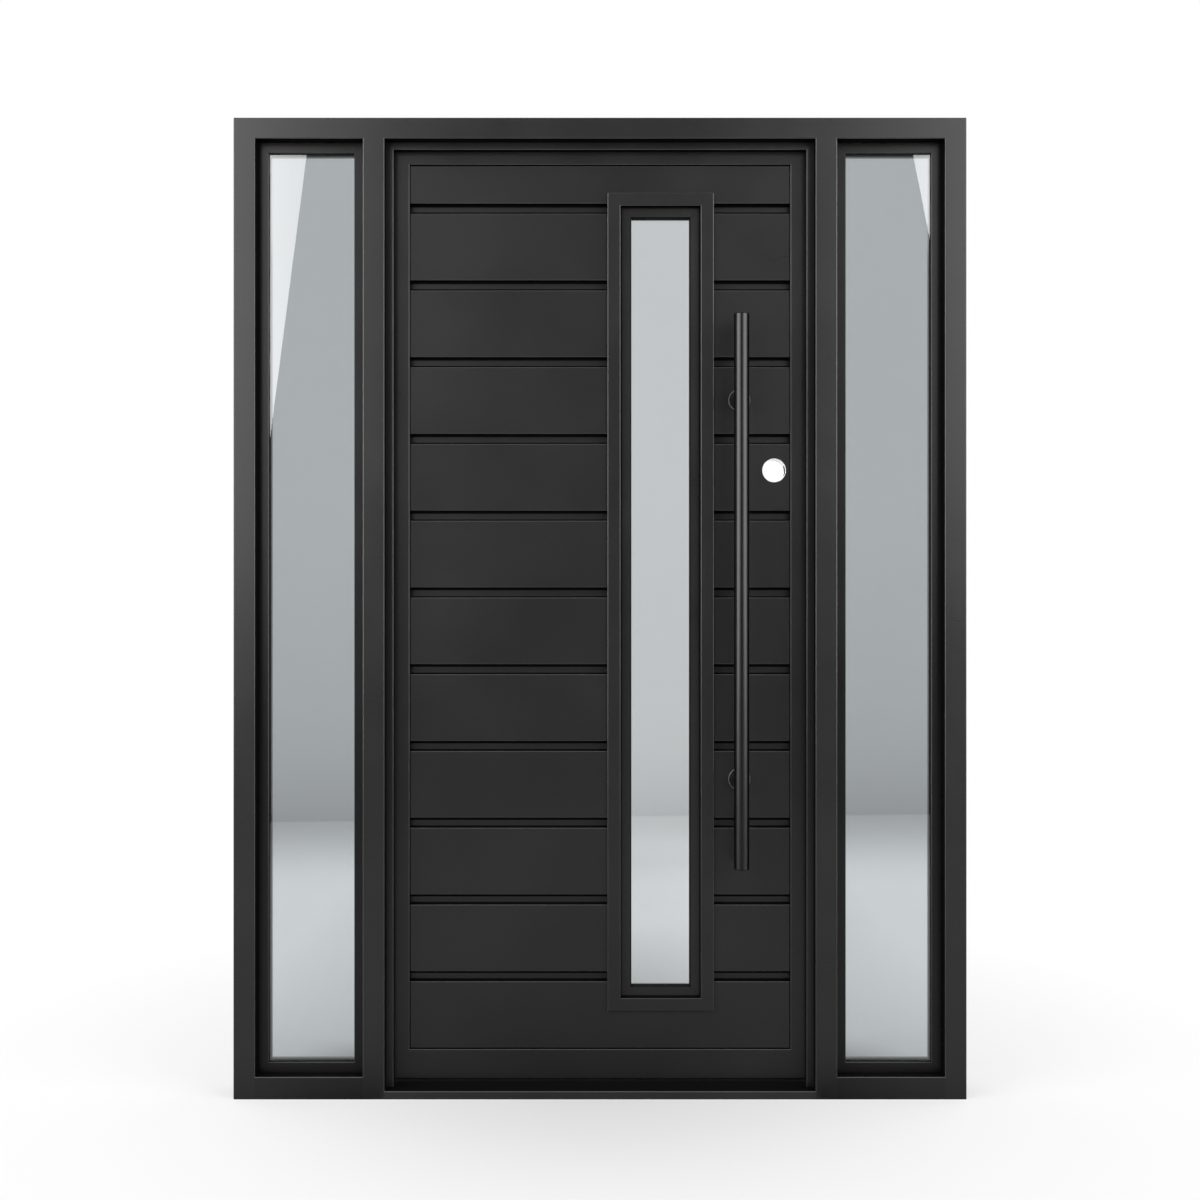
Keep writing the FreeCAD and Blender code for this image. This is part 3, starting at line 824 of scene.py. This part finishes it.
# Walls in front and behind, seen only in and through the glass, with painted shade darkest at the
# floor and a painted lift in the middle of their foot.
def makeWall(name, side, mirrored):
    recipe = newRecipe(name + "Paint")
    at = recipe.texture("object")
    across, height = recipe.along(at, 0), recipe.along(at, 2)
    middle = ((1.0 - (across * across) / wall["middleSpan"]).atLeast(0.0)
              * (wall["middleTop"] - height).atLeast(0.0))
    shade = recipe.ramp(wall["stops"], height / wall["stopsHeight"])
    shade = shade * (middle * wall["middleLift"] + 1.0)
    mirror = (recipe.ray("glossy") - recipe.ray("transmission")).atLeast(0.0)
    throughGlass = studio["throughGlass"]
    bright = max(throughGlass, mirrored)
    shade = shade * (throughGlass / bright + mirror * (mirrored - throughGlass) / bright)
    half, top = wall["width"] / 2, wall["height"]
    left, right = side * wallAt(-half), side * wallAt(half)
    stageMesh(name, [(-half, left, 0), (half, right, 0), (half, right, top), (-half, left, top)],
              recipe.surface(recipe.glow(shade, bright)), ("glossy", "transmission"))


softbox = {
    "innerTop": {"Left": (1.215, 4.60), "Right": (1.281, 4.52)},
    "innerFoot": {"Left": (1.673, 1.05), "Right": (1.945, 1.17)},
    "outerAcross": 4.4, "outerDepth": 1.2, "outerFoot": 0.25, "outerTop": 4.6, "wallGap": 0.08,
    "fadeStart": 1.35, "fadeWidth": 1.6, "edgeGlow": 0.30,
    "glow": {"frontLeft": 8.12, "frontRight": 7.25, "rearLeft": 3.6, "rearRight": 3.6},
}


# Tall softboxes turned towards the door: their inner edges lean outwards and are dimmer.
def makeSoftboxes():
    for end, depth in (("front", -1), ("rear", 1)):
        for hand, side in (("Left", -1), ("Right", 1)):
            name = end + hand + "Softbox"
            recipe = newRecipe(name + "Cloth")
            across = recipe.along(recipe.texture("object"), 0)
            inwards = (across * side - softbox["fadeStart"]) / softbox["fadeWidth"]
            shade = (inwards.atLeast(0.0).atMost(1.0) * (1 - softbox["edgeGlow"])
                     + softbox["edgeGlow"])
            cloth = recipe.surface(recipe.glow(shade, softbox["glow"][end + hand]))
            topX, topZ = softbox["innerTop"][hand]
            footX, footZ = softbox["innerFoot"][hand]
            innerY = depth * (wallAt(side * topX) - softbox["wallGap"])
            outerX, outerY = side * softbox["outerAcross"], depth * softbox["outerDepth"]
            stageMesh(name, [
                (side * footX, innerY, footZ), (outerX, outerY, softbox["outerFoot"]),
                (outerX, outerY, softbox["outerTop"]), (side * topX, innerY, topZ)],
                cloth, ("diffuse", "glossy"))


sidePanel = {"across": 4.6, "near": -1.15, "far": 4.5, "top": 4.6, "glow": 0.6}


# White panels beside the door, which round metal and the reveals see.
def makeSidePanels():
    near, far, top = sidePanel["near"], sidePanel["far"], sidePanel["top"]
    for side, name in ((-1, "leftPanel"), (1, "rightPanel")):
        recipe = newRecipe(name + "Cloth")
        cloth = recipe.surface(recipe.emission(grey(1.0), sidePanel["glow"]))
        x = side * sidePanel["across"]
        stageMesh(name, [(x, near, 0), (x, far, 0), (x, far, top), (x, near, top)],
                  cloth, ("diffuse", "glossy"))


lamps = {
    "topLight": {"size": (4.5, 3.0), "power": 58.0, "at": (0, -0.9, 4.3), "aim": (0, -0.6, 0)},
    "backLight": {"size": (4.0, 2.5), "power": 45.0, "at": (0, 3.2, 3.6), "aim": (0, 0, 0.6)},
}


def makeLights():
    for name, look in lamps.items():
        data = bpy.data.lights.new(name, "AREA")
        data.shape = "RECTANGLE"
        data.size, data.size_y = look["size"]
        data.energy = look["power"]
        lamp = bpy.data.objects.new(name, data)
        lamp.location = look["at"]
        beam = Vector(look["aim"]) - Vector(look["at"])
        lamp.rotation_euler = beam.to_track_quat("-Z", "Y").to_euler()
        lamp.visible_camera = False
        lamp.visible_transmission = False
        bpy.context.scene.collection.objects.link(lamp)


view = {"distance": 3.554, "height": 1.065, "lens": 50.0, "sensor": 36.0}  # lens in millimetres


def makeCamera():
    data = bpy.data.cameras.new("camera")
    data.lens = view["lens"]
    data.sensor_width = view["sensor"]
    camera = bpy.data.objects.new("camera", data)
    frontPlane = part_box("left_jamb")[0][1]
    camera.location = (0, frontPlane - view["distance"], view["height"])
    camera.rotation_euler = (math.pi / 2, 0, 0)
    bpy.context.scene.collection.objects.link(camera)
    bpy.context.scene.camera = camera


makeWorld()
makeFloor()
makeWall("frontWall", -1, wall["frontMirror"])
makeWall("rearWall", 1, wall["rearMirror"])
makeSoftboxes()
makeSidePanels()
makeLights()
makeCamera()
bpy.context.scene.view_settings.view_transform = "Standard"

print("finish")
